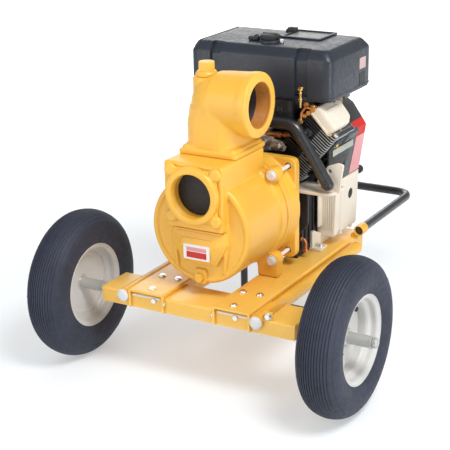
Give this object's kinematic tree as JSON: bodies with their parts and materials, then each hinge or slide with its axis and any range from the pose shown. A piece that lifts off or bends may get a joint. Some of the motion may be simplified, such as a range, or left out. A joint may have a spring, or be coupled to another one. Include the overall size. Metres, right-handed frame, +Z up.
{
  "type": "petrol engine trash pump on a two-wheeled cart",
  "caption": "Self-priming trash pump with a threaded suction flange and side discharge elbow, bolted to a V-twin engine on a wheeled channel frame with a pull-out handle.",
  "frame": {"origin": "on the ground under the centre of the overall box, midway between the wheels", "axes": "+Z up, -Y towards the suction end with the wheels, +X to the discharge side; X is the axle direction, Y runs along the rails to the handle"},
  "size_m": [0.952, 1.1546, 0.838],
  "materials": {
    "tyre": "ribbed black rubber",
    "rim_paint": "satin light grey enamel on pressed steel",
    "zinc": "zinc plated",
    "yellow_paint": "semi-gloss yellow enamel on steel",
    "yellow_cast_iron": "semi-gloss yellow enamel on cast iron",
    "black_paint": "semi-gloss black enamel",
    "cream_paint": "satin cream enamel on cast aluminium",
    "rubber": "matt black rubber",
    "cast_iron": "bare cast iron",
    "dark_fins": "black-coated cast aluminium fins",
    "black_aluminium": "black painted cast aluminium",
    "aluminium": "as cast",
    "brass": "machined",
    "tank_plastic": "fine-textured blue-black plastic",
    "matte_plastic": "moulded black plastic"
  },
  "bodies": {
    "cart": {"cross_beam": "yellow_paint", "left_rail": "yellow_paint", "right_rail": "yellow_paint", "left_side_tube": "yellow_paint", "right_side_tube": "yellow_paint", "left_tube_plug": "zinc", "right_tube_plug": "zinc", "rear_cross_member": "yellow_paint", "rear_stand": "black_paint", "left_axle": "zinc", "right_axle": "zinc", "pump_casing": "yellow_cast_iron", "suction_flange": "yellow_cast_iron", "cleanout_cover": "yellow_cast_iron", "discharge_elbow": "yellow_cast_iron", "engine_adapter": "yellow_cast_iron", "casing_bolt_upper_left": "zinc", "casing_bolt_upper_right": "zinc", "casing_bolt_lower_left": "zinc", "casing_bolt_lower_right": "zinc", "seal_plate": "cast_iron", "shaft_seal": "brass", "left_cylinder": "dark_fins", "right_cylinder": "dark_fins", "left_cylinder_head": "dark_fins", "right_cylinder_head": "dark_fins", "left_valve_cover": "cream_paint", "right_valve_cover": "cream_paint", "left_piston": "aluminium", "right_piston": "aluminium", "crankcase": "black_aluminium", "fan_housing_base": "cream_paint", "fan_shroud": "black_paint", "oil_filter": "black_paint", "tank_support_hoop": "black_paint", "tank_support_bracket": "aluminium", "fuel_tank": "tank_plastic", "air_cleaner": "matte_plastic", "carburettor": "aluminium", "muffler": "cast_iron", "exhaust_pipe": "cast_iron"},
    "left_wheel": {"left_tyre": "tyre", "left_wheel_rim": "rim_paint", "left_wheel_hub": "zinc"},
    "right_wheel": {"right_tyre": "tyre", "right_wheel_rim": "rim_paint", "right_wheel_hub": "zinc"},
    "rotor": {"crankshaft": "cast_iron", "impeller": "cast_iron", "flywheel_fan": "cast_iron"},
    "flap": {"suction_flap_valve": "rubber"},
    "drain": {"drain_plug": "yellow_cast_iron"},
    "priming": {"priming_plug": "yellow_cast_iron"},
    "cap": {"fuel_cap": "matte_plastic"},
    "throttle": {"throttle_lever": "zinc"},
    "choke": {"choke_knob": "matte_plastic"},
    "dipstick": {"oil_dipstick": "matte_plastic"},
    "handle": {"pull_handle": "black_paint"}
  },
  "joints": [
    {"name": "left_wheel_spin", "type": "hinge", "parent": "cart", "child": "left_wheel", "pos_m": [-0.3895, -0.37725, 0.2], "axis": [1, 0, 0], "continuous": true},
    {"name": "right_wheel_spin", "type": "hinge", "parent": "cart", "child": "right_wheel", "pos_m": [0.3895, -0.37725, 0.2], "axis": [1, 0, 0], "continuous": true},
    {"name": "shaft_spin", "type": "hinge", "parent": "cart", "child": "rotor", "pos_m": [-0.017, 0, 0.404], "axis": [0, 1, 0], "continuous": true},
    {"name": "flap_swing", "type": "hinge", "parent": "cart", "child": "flap", "pos_m": [-0.017, -0.37295, 0.5665], "axis": [1, 0, 0], "range_deg": [0, 50]},
    {"name": "drain_plug_turn", "type": "hinge", "parent": "cart", "child": "drain", "pos_m": [-0.017, -0.37725, 0.281], "axis": [0, -1, 0], "range_deg": [0, 750]},
    {"name": "priming_plug_turn", "type": "hinge", "parent": "cart", "child": "priming", "pos_m": [-0.062, -0.24525, 0.79], "axis": [0, 0, 1], "range_deg": [0, 750]},
    {"name": "fuel_cap_turn", "type": "hinge", "parent": "cart", "child": "cap", "pos_m": [-0.021, 0.01975, 0.82], "axis": [0, 0, 1], "range_deg": [0, 90]},
    {"name": "throttle_turn", "type": "hinge", "parent": "cart", "child": "throttle", "pos_m": [-0.017, -0.04725, 0.556], "axis": [0, 1, 0], "range_deg": [-30, 30]},
    {"name": "choke_pull", "type": "slide", "parent": "cart", "child": "choke", "axis": [0, 1, 0], "range_m": [0, 0.02]},
    {"name": "dipstick_pull", "type": "slide", "parent": "cart", "child": "dipstick", "axis": [0, 0, 1], "range_m": [0, 0.1]},
    {"name": "handle_slide", "type": "slide", "parent": "cart", "child": "handle", "axis": [0, 1, 0], "range_m": [-0.25, 0]}
  ]
}
